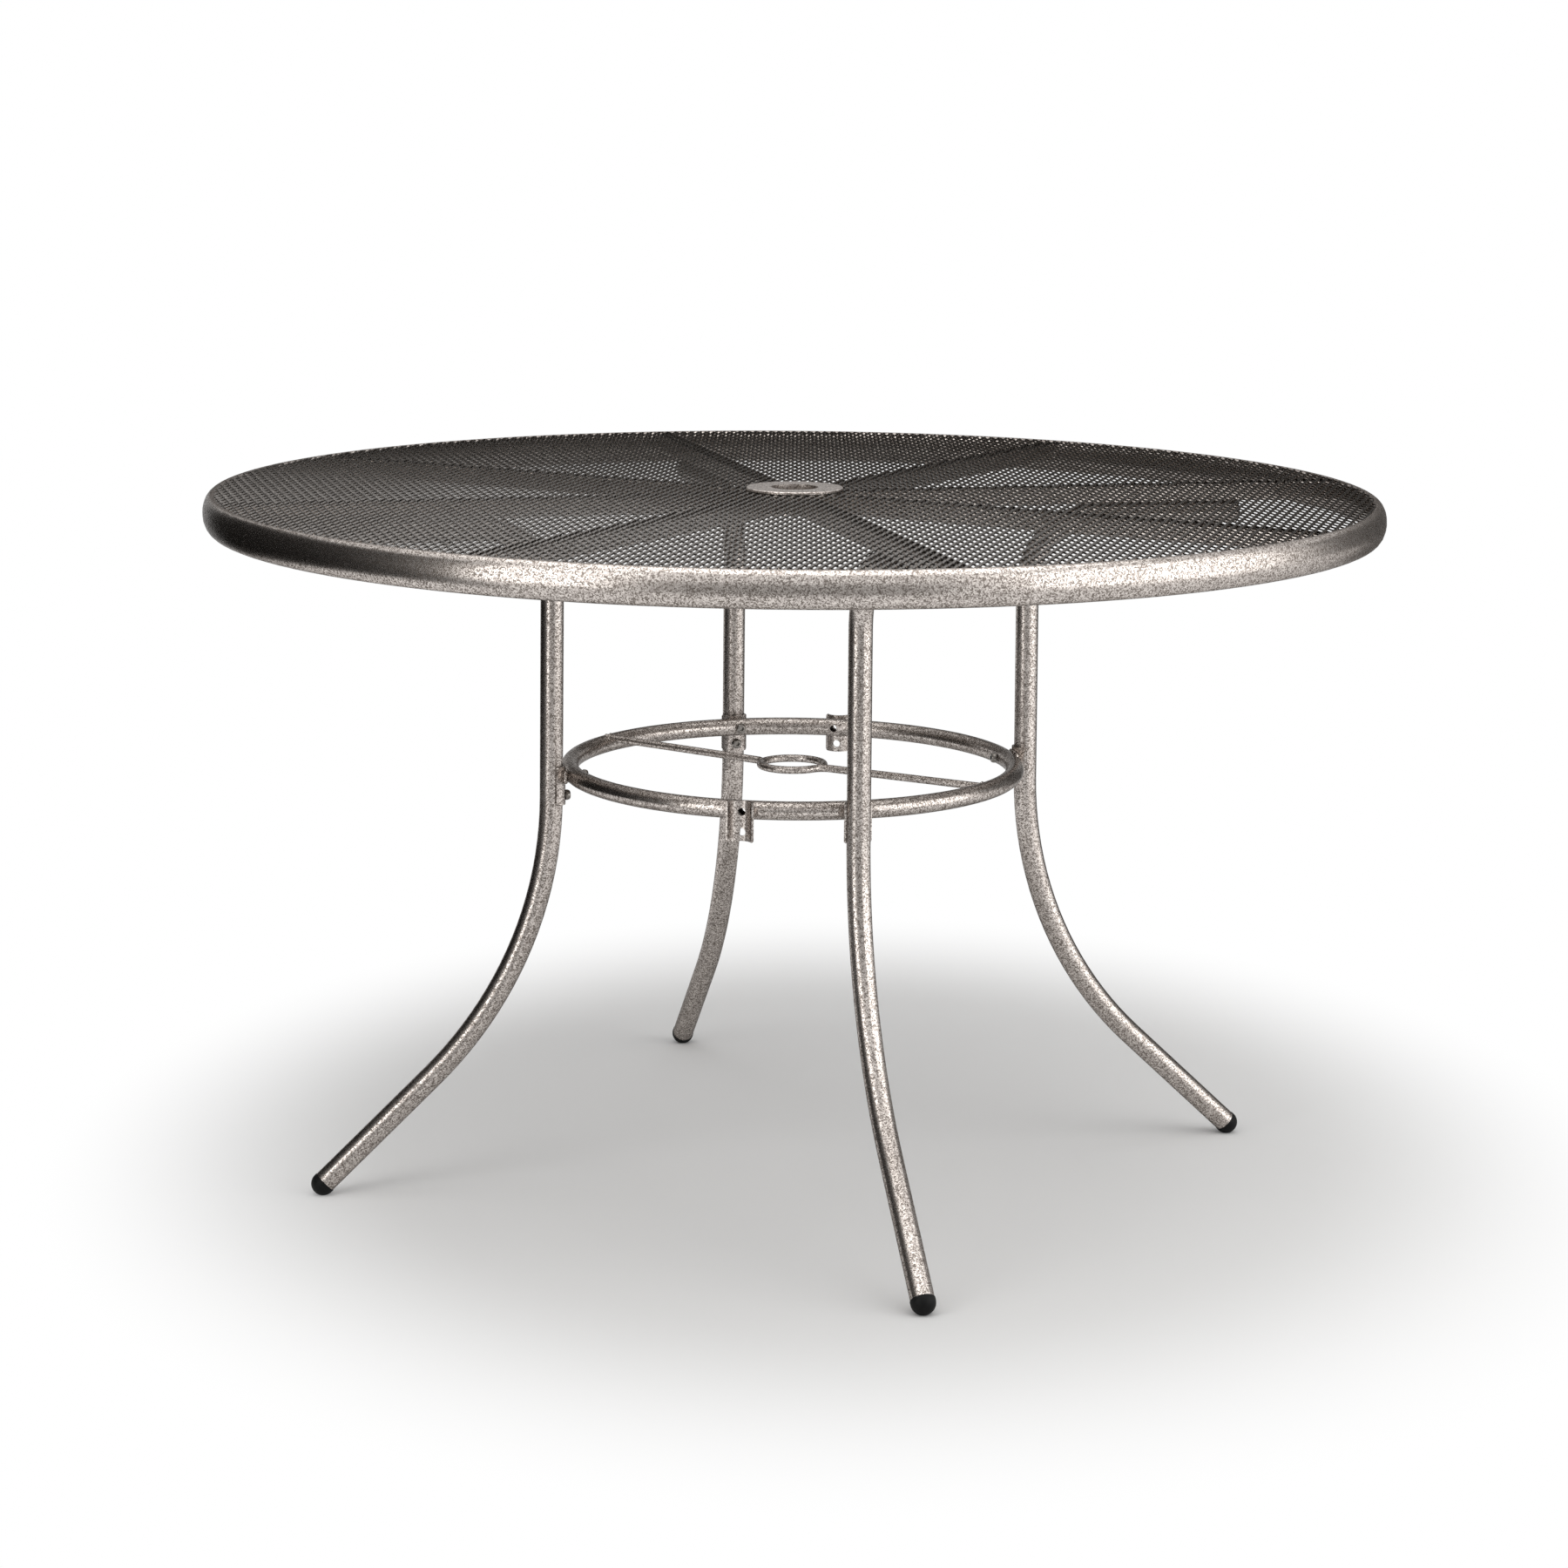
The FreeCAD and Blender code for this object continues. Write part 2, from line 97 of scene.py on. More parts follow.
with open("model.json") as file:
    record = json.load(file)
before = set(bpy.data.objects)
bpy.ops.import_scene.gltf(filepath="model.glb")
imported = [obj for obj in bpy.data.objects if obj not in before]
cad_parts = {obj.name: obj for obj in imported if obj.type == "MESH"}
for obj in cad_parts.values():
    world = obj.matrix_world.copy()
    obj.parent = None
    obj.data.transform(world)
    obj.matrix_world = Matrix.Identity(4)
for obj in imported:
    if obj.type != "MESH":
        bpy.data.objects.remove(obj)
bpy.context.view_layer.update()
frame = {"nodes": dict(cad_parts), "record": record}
CAD = frame["nodes"]
RIB_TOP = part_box("rib_1")[1].z / MM
RIB_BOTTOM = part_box("rib_1")[0].z / MM
MESH_TOP = RIB_TOP + STRAND_TWIST + STRAND_THICKNESS


def photo_point(x, y, z):
    """A point given in the photograph's axes, in metres."""
    return PHOTO_AXES @ Vector((x, y, z))


# Materials

# The coat's tones are those of its dark pits, its ground and its pale flecks; sizes in metres
GRAIN = 0.0011
CLOUD = 0.03
FRAME_TONES = ((0.22, 0.192, 0.172), (0.54, 0.491, 0.464), (0.82, 0.765, 0.72))
# The mesh's tones are the frame's coat made darker, as painted shade
SHADED_MESH_TONES = ((0.15, 0.133, 0.119), (0.32, 0.292, 0.270), (0.48, 0.443, 0.413))
WHITE = (1.0, 1.0, 1.0)


class Nodes:
    """A material's node tree, with short calls to add to it."""

    def __init__(self, name):
        self.material = bpy.data.materials.new(name)
        self.material.use_nodes = True
        self.tree = self.material.node_tree
        self.shader = self.tree.nodes["Principled BSDF"]
        self.place = self.add("ShaderNodeTexCoord").outputs["Object"]

    def add(self, kind, **settings):
        node = self.tree.nodes.new(kind)
        for key, value in settings.items():
            setattr(node, key, value)
        return node

    def link(self, output, socket):
        self.tree.links.new(output, socket)

    def noise(self, size, detail=2.0):
        """Noise whose features are about the given size in metres."""
        node = self.add("ShaderNodeTexNoise")
        node.inputs["Scale"].default_value = 1.0 / size
        node.inputs["Detail"].default_value = detail
        self.link(self.place, node.inputs["Vector"])
        return node.outputs["Fac"]

    def ragged(self, size, amount):
        """Object coordinates pushed about by noise, so that grains get uneven edges."""
        push = self.add("ShaderNodeTexNoise")
        push.inputs["Scale"].default_value = 1.0 / size
        self.link(self.place, push.inputs["Vector"])
        moved = self.add("ShaderNodeVectorMath", operation="MULTIPLY_ADD")
        moved.inputs[1].default_value = (amount, amount, amount)
        self.link(push.outputs["Color"], moved.inputs[0])
        self.link(self.place, moved.inputs[2])
        return moved.outputs[0]

    def ramp(self, value, stops):
        """Colours that a value runs through, each stop a place and its colour."""
        node = self.add("ShaderNodeValToRGB")
        ramp = node.color_ramp
        while len(ramp.elements) < len(stops):
            ramp.elements.new(0.5)
        for element, (where, color) in zip(ramp.elements, stops):
            element.position = where
            element.color = (*color, 1.0)
        self.link(value, node.inputs["Fac"])
        return node.outputs["Color"]

    def spread(self, value, low, high, start=0.3, end=0.7):
        """A value from start to end, stretched to run from low to high."""
        node = self.add("ShaderNodeMapRange")
        node.inputs["From Min"].default_value = start
        node.inputs["From Max"].default_value = end
        node.inputs["To Min"].default_value = low
        node.inputs["To Max"].default_value = high
        self.link(value, node.inputs["Value"])
        return node.outputs["Result"]

    def multiply(self, a, b):
        """Two colours multiplied."""
        node = self.add("ShaderNodeMix", data_type="RGBA", blend_type="MULTIPLY")
        node.inputs[0].default_value = 1.0
        self.link(a, node.inputs[6])
        self.link(b, node.inputs[7])
        return node.outputs[2]

    def bump(self, height, strength, depth):
        """Relief on the surface, of a depth in metres."""
        node = self.add("ShaderNodeBump")
        node.inputs["Strength"].default_value = strength
        node.inputs["Distance"].default_value = depth
        self.link(height, node.inputs["Height"])
        self.link(node.outputs["Normal"], self.shader.inputs["Normal"])

    def set(self, **values):
        """Plain numbers and colours on the shader itself."""
        names = {"metallic": "Metallic", "roughness": "Roughness",
                 "level": "Specular IOR Level", "tint": "Specular Tint"}
        for key, value in values.items():
            self.shader.inputs[names[key]].default_value = value


def coat_material(name, tones, edge, low_rough, high_rough):
    """A speckled metallic powder coat: tiny dark pits and pale flecks in a metallic ground."""
    dark, ground, fleck = tones
    m = Nodes(name)
    grains = m.add("ShaderNodeTexVoronoi", feature="F1")
    grains.inputs["Scale"].default_value = 1.0 / GRAIN
    m.link(m.ragged(GRAIN * 0.45, GRAIN * 0.9), grains.inputs["Vector"])
    split = m.add("ShaderNodeSeparateColor")
    m.link(grains.outputs["Color"], split.inputs[0])
    luck = split.outputs[0]
    speckle = m.ramp(luck, [(0.0, dark), (0.28, dark), (0.42, ground), (0.62, ground),
                            (0.80, fleck)])
    dust = m.ramp(m.noise(GRAIN * 0.3), [(0.35, (0.80, 0.79, 0.78)), (0.62, WHITE)])
    clouds = m.ramp(m.noise(CLOUD, detail=3.0), [(0.3, (0.94, 0.935, 0.93)), (0.7, WHITE)])
    color = m.multiply(m.multiply(speckle, dust), clouds)
    m.link(color, m.shader.inputs["Base Color"])
    m.link(m.spread(luck, high_rough, low_rough, 0.2, 0.8), m.shader.inputs["Roughness"])
    m.bump(grains.outputs["Distance"], 0.15, GRAIN * 0.15)
    m.set(metallic=1.0, tint=(edge, edge, edge, 1.0))
    return m.material


def plastic_material(name, dark, light, roughness):
    """Dull moulded plastic with a fine grain."""
    m = Nodes(name)
    grain = m.noise(0.0012, detail=3.0)
    m.link(m.ramp(grain, [(0.35, dark), (0.65, light)]), m.shader.inputs["Base Color"])
    m.link(m.spread(grain, roughness - 0.08, roughness + 0.08), m.shader.inputs["Roughness"])
    m.bump(grain, 0.3, 0.0001)
    m.set(metallic=0.0, level=0.15)
    return m.material


def steel_material(name):
    """Dark, fairly glossy steel with a fine grain and wider stains."""
    m = Nodes(name)
    fine = m.noise(0.0006, detail=4.0)
    wide = m.noise(0.006)
    color = m.ramp(fine, [(0.3, (0.16, 0.151, 0.142)), (0.7, (0.36, 0.339, 0.318))])
    stains = m.ramp(wide, [(0.3, (0.8, 0.78, 0.74)), (0.7, WHITE)])
    m.link(m.multiply(color, stains), m.shader.inputs["Base Color"])
    m.link(m.spread(fine, 0.18, 0.30), m.shader.inputs["Roughness"])
    m.bump(fine, 0.2, 0.00005)
    m.set(metallic=1.0)
    return m.material


COAT = coat_material("coat", FRAME_TONES, 0.4, 0.25, 0.38)
# The mesh's coat is the frame's coat in darker tones: painted shade
SHADED_MESH_COAT = coat_material("shaded_mesh_coat", SHADED_MESH_TONES, 0.66, 0.16, 0.30)
RING_COAT = coat_material("ring_coat", FRAME_TONES, 1.0, 0.30, 0.45)
BLACK = plastic_material("black_plastic", (0.002, 0.002, 0.002), (0.006, 0.006, 0.006), 0.55)
STEEL = steel_material("dark_steel")
SLOT_MATERIALS = {"frame_paint": COAT, "mesh_paint": SHADED_MESH_COAT, "black_plastic": BLACK,
                  "fastener_steel": STEEL}


def dress(obj, material):
    """Give an object one material in place of any that it has."""
    obj.data.materials.clear()
    obj.data.materials.append(material)


def add_piece(name, mesh, material, replaced=None):
    """A mesh as a piece of the table, which stands for a solid where one is named."""
    obj = bpy.data.objects.new(name, mesh)
    bpy.context.scene.collection.objects.link(obj)
    dress(obj, material)
    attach(obj, "root")
    if replaced:
        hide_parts(replaced)


for part in frame["record"]["subparts"]:
    dress(CAD[part["node"]], SLOT_MATERIALS[part["material_slot"]])
dress(CAD["hub_ring"], RING_COAT)


# Mesh top

def clip(polygon, normal, limit):
    """The part of a flat polygon where its distance along the normal is below the limit."""
    kept = []
    for k, point in enumerate(polygon):
        after = polygon[(k + 1) % len(polygon)]
        d0 = point[0] * normal[0] + point[1] * normal[1] - limit
        d1 = after[0] * normal[0] + after[1] * normal[1] - limit
        if d0 <= 0:
            kept.append(point)
        if (d0 < 0 < d1) or (d1 < 0 < d0):
            share = d0 / (d0 - d1)
            kept.append(tuple(a + (b - a) * share for a, b in zip(point, after)))
    return kept


def trim(polygon):
    """A half strand's outline, cut off at the sheet's edge or at the pole's hole."""
    x = sum(p[0] for p in polygon) / len(polygon)
    y = sum(p[1] for p in polygon) / len(polygon)
    away = math.hypot(x, y)
    way = (x / away, y / away)
    if away > MESH_EDGE - CELL_LENGTH:
        polygon = clip(polygon, way, MESH_EDGE)
    if away < MESH_HOLE + CELL_LENGTH:
        polygon = clip(polygon, (-way[0], -way[1]), -MESH_HOLE)
    return polygon


def double_area(polygon):
    """Twice a polygon's area, positive where it runs anticlockwise."""
    return sum(a[0] * b[1] - b[0] * a[1] for a, b in zip(polygon, polygon[1:] + polygon[:1]))


def half_strands():
    """The four half strands round one opening: flat outlines with a height at each corner."""
    half_w, half_l = CELL_WIDTH / 2, CELL_LENGTH / 2
    slant = math.atan2(half_w, half_l)
    inner_w = half_w - STRAND_WIDTH / 2 / math.cos(slant)
    inner_l = half_l - STRAND_WIDTH / 2 / math.sin(slant) + TIP_REACH
    outlines = []
    for sx in (1, -1):
        lift = STRAND_TWIST * sx
        for sy in (1, -1):
            outlines.append([
                (sx * half_w, 0, 0),
                (0, sy * half_l, 0),
                (0, sy * inner_l, 0),
                (sx * TIP_HALF, sy * inner_l, lift / 2),
                (sx * inner_w, 0, lift),
            ])
    return outlines


def cell_centres():
    """The middles of the openings on the sheet and just round it."""
    columns = int(MESH_EDGE / (CELL_WIDTH / 2)) + 2
    rows = int(MESH_EDGE / (CELL_LENGTH / 2)) + 2
    for i in range(-columns, columns + 1):
        for j in range(-rows, rows + 1):
            x, y = i * CELL_WIDTH / 2, j * CELL_LENGTH / 2
            if (i + j) % 2 == 0 and math.hypot(x, y) <= MESH_EDGE + CELL_LENGTH:
                yield x, y


def close_sides(bm):
    """Walls between the open edges of the sheet's top and those of its underside."""

    def spot(v, lower=0.0):
        return round(v.co.x, 6), round(v.co.y, 6), round(v.co.z - lower, 6)

    at = {spot(v): v for v in bm.verts}
    for edge in [e for e in bm.edges if e.is_boundary]:
        under = {v: at.get(spot(v, STRAND_THICKNESS * MM)) for v in edge.verts}
        # Nothing lies below the underside's own edges
        if None in under.values():
            continue
        loop = edge.link_loops[0]
        first, second = loop.vert, loop.link_loop_next.vert
        bm.faces.new((second, first, under[first], under[second]))


def make_mesh_strands():
    """The expanded metal sheet, strand by strand, trimmed at the rim and at the pole's hole."""
    c, s = math.cos(PHOTO_TURN), math.sin(PHOTO_TURN)
    verts, faces = [], []
    index = {}

    def corner(x, y, z):
        key = (round(x, 2), round(y, 2), round(z, 2))
        if key not in index:
            index[key] = len(verts)
            verts.append(((x * c - y * s) * MM, (x * s + y * c) * MM, z * MM))
        return index[key]

    outlines = half_strands()
    for cx, cy in cell_centres():
        for outline in outlines:
            polygon = trim([(cx + x, cy + y, z) for x, y, z in outline])
            if len(polygon) < 3:
                continue
            top = [corner(x, y, MESH_TOP + z) for x, y, z in polygon]
            low = [corner(x, y, MESH_TOP + z - STRAND_THICKNESS) for x, y, z in polygon]
            if len(set(top)) < 3:
                continue
            if double_area(polygon) < 0:
                top.reverse()
                low.reverse()
            faces.append(top)
            faces.append(low[::-1])
    mesh = bpy.data.meshes.new("mesh_strands")
    mesh.from_pydata(verts, [], faces)
    bm = bmesh.new()
    bm.from_mesh(mesh)
    close_sides(bm)
    bm.normal_update()
    bm.to_mesh(mesh)
    bm.free()
    mesh.update()
    add_piece("mesh_strands", mesh, SHADED_MESH_COAT, "mesh_top")


make_mesh_strands()


# Bolts

class Build:
    """Corners and faces, in millimetres, gathered for one piece."""

    def __init__(self):
        self.verts = []
        self.faces = []

    def ring(self, points):
        first = len(self.verts)
        self.verts.extend(points)
        return list(range(first, first + len(points)))

    def join(self, a, b):
        count = len(a)
        for k in range(count):
            after = (k + 1) % count
            self.faces.append((a[k], a[after], b[after], b[k]))

    def close(self, ring, point, flip=False):
        tip = len(self.verts)
        self.verts.append(point)
        for k in range(len(ring)):
            pair = (ring[k], ring[(k + 1) % len(ring)])
            self.faces.append((pair[1], pair[0], tip) if flip else (*pair, tip))

    def piece(self, name, material, replaced=None, sharp=20.0):
        """One piece of all that was gathered, its edges sharp where they turn by more."""
        mesh = bpy.data.meshes.new(name)
        mesh.from_pydata([(x * MM, y * MM, z * MM) for x, y, z in self.verts], [], self.faces)
        bm = bmesh.new()
        bm.from_mesh(mesh)
        bmesh.ops.recalc_face_normals(bm, faces=bm.faces)
        for face in bm.faces:
            face.smooth = True
        for edge in bm.edges:
            if edge.calc_face_angle(0.0) > math.radians(sharp):
                edge.smooth = False
        bm.to_mesh(mesh)
        bm.free()
        add_piece(name, mesh, material, replaced)


def around(radius, side, height, azimuth):
    """A point at a radius along an azimuth, moved sideways, at a height."""
    c, s = math.cos(math.radians(azimuth)), math.sin(math.radians(azimuth))
    return (radius * c - side * s, radius * s + side * c, height)


def hex_radius(angle):
    """How far a unit hexagon reaches at an angle, one across its half flats."""
    fold = (angle + math.pi / 6) % (math.pi / 3) - math.pi / 6
    return 1.0 / math.cos(fold)


def add_bolt(build, azimuth, face, height, shank):
    """A bolt with a domed head and a hexagonal socket in it, pointing outward."""

    def station(depth, reach):
        points = []
        for k in range(BOLT_SIDES):
            angle = 2 * math.pi * k / BOLT_SIDES
            r = reach(angle)
            points.append(around(face - depth, r * math.sin(angle),
                                 height + r * math.cos(angle), azimuth))
        return build.ring(points)

    def disc(depth, radius):
        return station(depth, lambda angle: radius)

    def socket(depth):
        return station(depth, lambda angle: SOCKET_FLATS / 2 * hex_radius(angle))

    wide = HEAD_WIDTH / 2
    rings = [disc(-shank, SHANK_RADIUS * SHANK_TIP_SHARE),
             disc(-shank + SHANK_CHAMFER, SHANK_RADIUS),
             disc(0.0, SHANK_RADIUS),
             disc(0.0, wide)]
    for turn in np.linspace(0.0, math.pi / 2, DOME_STEPS + 1):
        rings.append(disc(HEAD_RIM + (HEAD_DEPTH - HEAD_RIM) * math.sin(turn),
                          CROWN_RADIUS + (wide - CROWN_RADIUS) * math.cos(turn)))
    rings += [socket(HEAD_DEPTH), socket(HEAD_DEPTH - SOCKET_DEPTH)]
    for a, b in zip(rings, rings[1:]):
        build.join(a, b)
    build.close(rings[0], around(face + shank, 0, height, azimuth), flip=True)
    build.close(rings[-1], around(face - HEAD_DEPTH + SOCKET_DEPTH, 0, height, azimuth))


def make_bolts(name, node, face, height, shank):
    """The four bolts at one height, one at each leg."""
    build = Build()
    for azimuth in LEG_AZIMUTHS:
        add_bolt(build, azimuth, face, height, shank)
    build.piece(name, STEEL, node)


# Welds

# A bead's ripples, how uneven its line and its facets are, how its ends close, and a
# direction that no bead runs along
BEAD_LEVEL = 0.93
RIPPLE_DEPTH = 0.09
RIPPLE_PITCH = 2.1
LINE_UNEVEN = 0.05
FACET_UNEVEN = 0.04
END_POWER = 8
END_SHARE = 0.15
END_BULGE = 0.3
BEAD_ASIDE = Vector((0.31, 0.17, 0.94))

# Radii of the beads, and how far their middle lines lie from the metal
SADDLE_BEAD = 2.5
SADDLE_END_BEAD = 1.7
SHANK_BEAD = 1.5
STUB_BEAD = 1.7
RIM_BEAD = 1.7
UNDER_RIB_BEAD = 1.6
HUB_BEAD = 1.6
RIB_SIDE_OFF = 0.3
RIM_OFF = 0.4
HUB_OFF = 0.6
SHANK_OFF = 0.3
STUB_OFF = 0.2

# Where a saddle's upright beads run: to each side, and below and above the hoop's middle,
# and how far they and their tops may stray
SADDLE_BEAD_SIDE = 9.6
SADDLE_BEAD_LOW = 6.5
SADDLE_BEAD_RISE = 6.3
SADDLE_BEAD_STRAY = 0.2
SADDLE_TOP_STRAY = 0.6

# Its level beads: how far they run to each side, and their distance from the table's middle
SADDLE_END_HALF = 8.6
SADDLE_END_RADIUS = 244.3
SADDLE_END_POINTS = 28

# Where the rods' beads lie: outward of the hoop's inner face, and back and down from the
# stub rod's end
SHANK_BEAD_OUT = 0.4
STUB_BEAD_BACK = 1.6
STUB_BEAD_DROP = 0.1

# Where a rib's beads stop short of its corners, and how far the hub's reach below them
RIB_END_LOW = 1.0
RIB_END_TOP = 1.5
RIB_END_SIDE = 0.5
HUB_BEAD_DROP = 0.5
RIB_SIDE_POINTS = 34
RIB_UNDER_POINTS = 32

# Lumps of the eye's weld: how far each is lifted and moved sideways, and its radius. Then how
# far they run each way from the middle, how much they draw together, and their points' spacing
EYE_LUMPS = ((0.0, 0.0, 3.6), (1.6, 1.2, 2.0), (-1.8, -0.9, 2.1), (0.6, -2.4, 1.9))
EYE_LUMP_BACK = 2.8
EYE_LUMP_AHEAD = 3.4
EYE_LUMP_TAPER = 0.6
EYE_LUMP_STEP = 0.45


def add_bead(build, path, radius, dice, sides=10, closed=False):
    """A weld bead along points: a rippled, slightly uneven round line of metal."""
    points = [Vector(p) for p in path]
    count = len(points)
    rings = []
    run = 0.0
    for k, point in enumerate(points):
        before = points[(k - 1) % count] if closed or k else point
        after = points[(k + 1) % count] if closed or k < count - 1 else point
        run += (point - points[k - 1]).length if k else 0.0
        way = (after - before).normalized()
        side = way.cross(BEAD_ASIDE).normalized()
        up = way.cross(side)
        ripple = BEAD_LEVEL + RIPPLE_DEPTH * math.sin(run * math.pi * 2 / RIPPLE_PITCH)
        reach = radius * (ripple + dice.uniform(-LINE_UNEVEN, LINE_UNEVEN))
        if not closed:
            end = abs(2 * k / (count - 1) - 1)
            full = math.sqrt(max(0.0, 1 - end ** END_POWER))
            reach *= full * (1 - END_SHARE) + END_SHARE
        ring = []
        for n in range(sides):
            angle = 2 * math.pi * n / sides
            r = reach * (1 + dice.uniform(-FACET_UNEVEN, FACET_UNEVEN))
            ring.append(tuple(point + side * (r * math.cos(angle)) + up * (r * math.sin(angle))))
        rings.append(build.ring(ring))
    for a, b in zip(rings, rings[1:]):
        build.join(a, b)
    if closed:
        build.join(rings[-1], rings[0])
        return
    first = points[0] + (points[0] - points[1]).normalized() * radius * END_BULGE
    last = points[-1] + (points[-1] - points[-2]).normalized() * radius * END_BULGE
    build.close(rings[0], tuple(first), flip=True)
    build.close(rings[-1], tuple(last))


def steps(start, end, length=0.6):
    """Points from start to end, about a step's length apart."""
    a, b = Vector(start), Vector(end)
    count = max(4, int((b - a).length / length))
    return [a.lerp(b, k / count) for k in range(count + 1)]


def circle_path(centre, way, radius, count=40):
    """Points round a circle that faces along the way given."""
    middle = Vector(centre)
    way = Vector(way).normalized()
    side = way.cross(Vector((0.0, 0.0, 1.0))).normalized()
    up = way.cross(side)
    path = []
    for k in range(count):
        angle = 2 * math.pi * k / count
        path.append(middle + side * (radius * math.cos(angle)) + up * (radius * math.sin(angle)))
    return path


def saddle_beads(build, dice):
    """Welds up both sides of each saddle's back, and along its top and bottom."""
    for azimuth in SADDLE_AZIMUTHS:
        for side in (-SADDLE_BEAD_SIDE, SADDLE_BEAD_SIDE):
            back = SADDLE_AXIS - math.sqrt(SADDLE_OUTER ** 2 - side ** 2)
            hoop = math.sqrt((HOOP_RADIUS + HOOP_TUBE) ** 2 - side ** 2)
            x = (back + hoop) / 2 + dice.uniform(-SADDLE_BEAD_STRAY, SADDLE_BEAD_STRAY)
            stray = dice.uniform(-SADDLE_TOP_STRAY, SADDLE_TOP_STRAY)
            low = HOOP_HEIGHT - SADDLE_BEAD_LOW
            high = HOOP_HEIGHT + SADDLE_BEAD_RISE + stray
            path = steps(around(x, side, low, azimuth), around(x, side, high, azimuth))
            add_bead(build, path, SADDLE_BEAD, dice)
        for rise in (-SADDLE_BEAD_RISE, SADDLE_BEAD_RISE):
            across = [around(SADDLE_END_RADIUS, side, HOOP_HEIGHT + rise, azimuth)
                      for side in np.linspace(-SADDLE_END_HALF, SADDLE_END_HALF,
                                              SADDLE_END_POINTS)]
            add_bead(build, across, SADDLE_END_BEAD, dice)


def rod_beads(build, dice):
    """Welds round both rods where they meet the inside of the hoop."""
    shank = around(HOOP_RADIUS - HOOP_TUBE + SHANK_BEAD_OUT, 0, ROD_HEIGHT, EYE_SHANK_AZIMUTH)
    way = around(1, 0, 0, EYE_SHANK_AZIMUTH)
    path = circle_path(shank, way, ROD_RADIUS + SHANK_OFF)
    add_bead(build, path, SHANK_BEAD, dice, closed=True)
    end, rise = STUB_END
    stub = around(end - STUB_BEAD_BACK, 0, rise - STUB_BEAD_DROP, STUB_AZIMUTH)
    slope = (rise - ROD_HEIGHT) / (end - STUB_START)
    path = circle_path(stub, around(1, 0, slope, STUB_AZIMUTH), ROD_RADIUS + STUB_OFF)
    add_bead(build, path, STUB_BEAD, dice, closed=True)


def rim_weld_point(side, height, azimuth):
    """A point just inside the rim's inner face, at a height and a distance to the side."""
    share = (height - RIM_MIDDLE[1]) / RIM_HALF[1]
    face = RIM_MIDDLE[0] - RIM_HALF[0] * math.sqrt(1 - share ** 2)
    return around(math.sqrt(face ** 2 - side ** 2) - RIM_OFF, side, height, azimuth)


def rib_beads(build, dice):
    """Welds at both ends of each rib."""
    heights = np.linspace(RIB_BOTTOM + RIB_END_LOW, RIB_TOP - RIB_END_TOP, RIB_SIDE_POINTS)
    sides = np.linspace(-RIB_HALF + RIB_END_SIDE, RIB_HALF - RIB_END_SIDE, RIB_UNDER_POINTS)
    for azimuth in RIB_AZIMUTHS:
        for side in (-RIB_HALF - RIB_SIDE_OFF, RIB_HALF + RIB_SIDE_OFF):
            path = [rim_weld_point(side, height, azimuth) for height in heights]
            add_bead(build, path, RIM_BEAD, dice)
        across = [rim_weld_point(side, RIB_BOTTOM, azimuth) for side in sides]
        add_bead(build, across, UNDER_RIB_BEAD, dice)
        between = azimuth + HALF_RIB_TURN
        low = around(HUB_TUBE + HUB_OFF, 0, RIB_BOTTOM - HUB_BEAD_DROP, between)
        high = around(HUB_TUBE + HUB_OFF, 0, RIB_TOP - RIB_END_TOP, between)
        add_bead(build, steps(low, high), HUB_BEAD, dice)


def make_welds():
    """All the beads that stand for no solid, as one piece."""
    dice = random.Random(7)
    build = Build()
    saddle_beads(build, dice)
    rod_beads(build, dice)
    rib_beads(build, dice)
    build.piece("weld_beads", COAT, sharp=80.0)


def make_eye_weld():
    """The lumpy weld between the eye and the end of the stub rod."""
    dice = random.Random(11)
    build = Build()
    middle = (EYE_RADIUS + ROD_RADIUS + STUB_START) / 2
    for lift, side, radius in EYE_LUMPS:
        start = around(middle - EYE_LUMP_BACK, side, ROD_HEIGHT + lift, STUB_AZIMUTH)
        end = around(middle + EYE_LUMP_AHEAD, side * EYE_LUMP_TAPER,
                     ROD_HEIGHT + lift * EYE_LUMP_TAPER, STUB_AZIMUTH)
        add_bead(build, steps(start, end, EYE_LUMP_STEP), radius, dice, sides=14)
    build.piece("eye_weld_bead", COAT, "eye_weld", sharp=80.0)


make_bolts("upper_button_bolts", "upper_bolts", *UPPER_BOLT)
make_bolts("lower_button_bolts", "lower_bolts", *LOWER_BOLT)
make_welds()
make_eye_weld()


# Floor, light and camera

# The floor's grey, which shows under the table as a painted shadow, and where it turns white, in
# the photograph's axes
FLOOR_SIZE = 60.0
FLOOR_SHADE = (0.72, 0.72, 0.72)
SHADE_CENTRE = (0.065, 0.085)
SHADE_SQUEEZE = 0.81
SHADE_START = 0.48
SHADE_END = 0.88
ROOM_LIGHT = 0.55

# Screens that show only in the gloss. They are hidden from the camera, and its view takes in
# all of the back one and part of the right and front ones. Each has the span of its azimuths in
# the photograph's axes, its radius, its lowest and highest edges, and how pale it is
SCREENS = {
    "left_screen": ((140, 220), 1.6, (0.0, 1.75), 0.01),
    "right_screen": ((30, 62), 1.9, (0.0, 1.4), 0.15),
    "rim_screen": ((10, 30), 1.9, (0.5, 1.4), 0.15),
    "front_screen": ((244, 294), 2.2, (0.0, 1.15), 0.45),
    "back_screen": ((45, 135), 1.25, (0.74, 1.09), 0.01),
}
SCREEN_PANELS = 24

# Lamps: place, what each faces, width and height, and power in watts
LAMPS = {
    "left_box": ((-1.78, -1.80, 1.3), (0, 0, 0.7), (1.2, 2.4), 18),
    "right_box": ((2.35, -1.05, 1.3), (0, 0, 0.7), (2.6, 2.4), 33),
    "top_box": ((0.0, -0.4, 3.1), (0, 0, 0), (3.2, 2.6), 45),
}
LAMP_COLOR = (1.0, 0.99, 0.97)

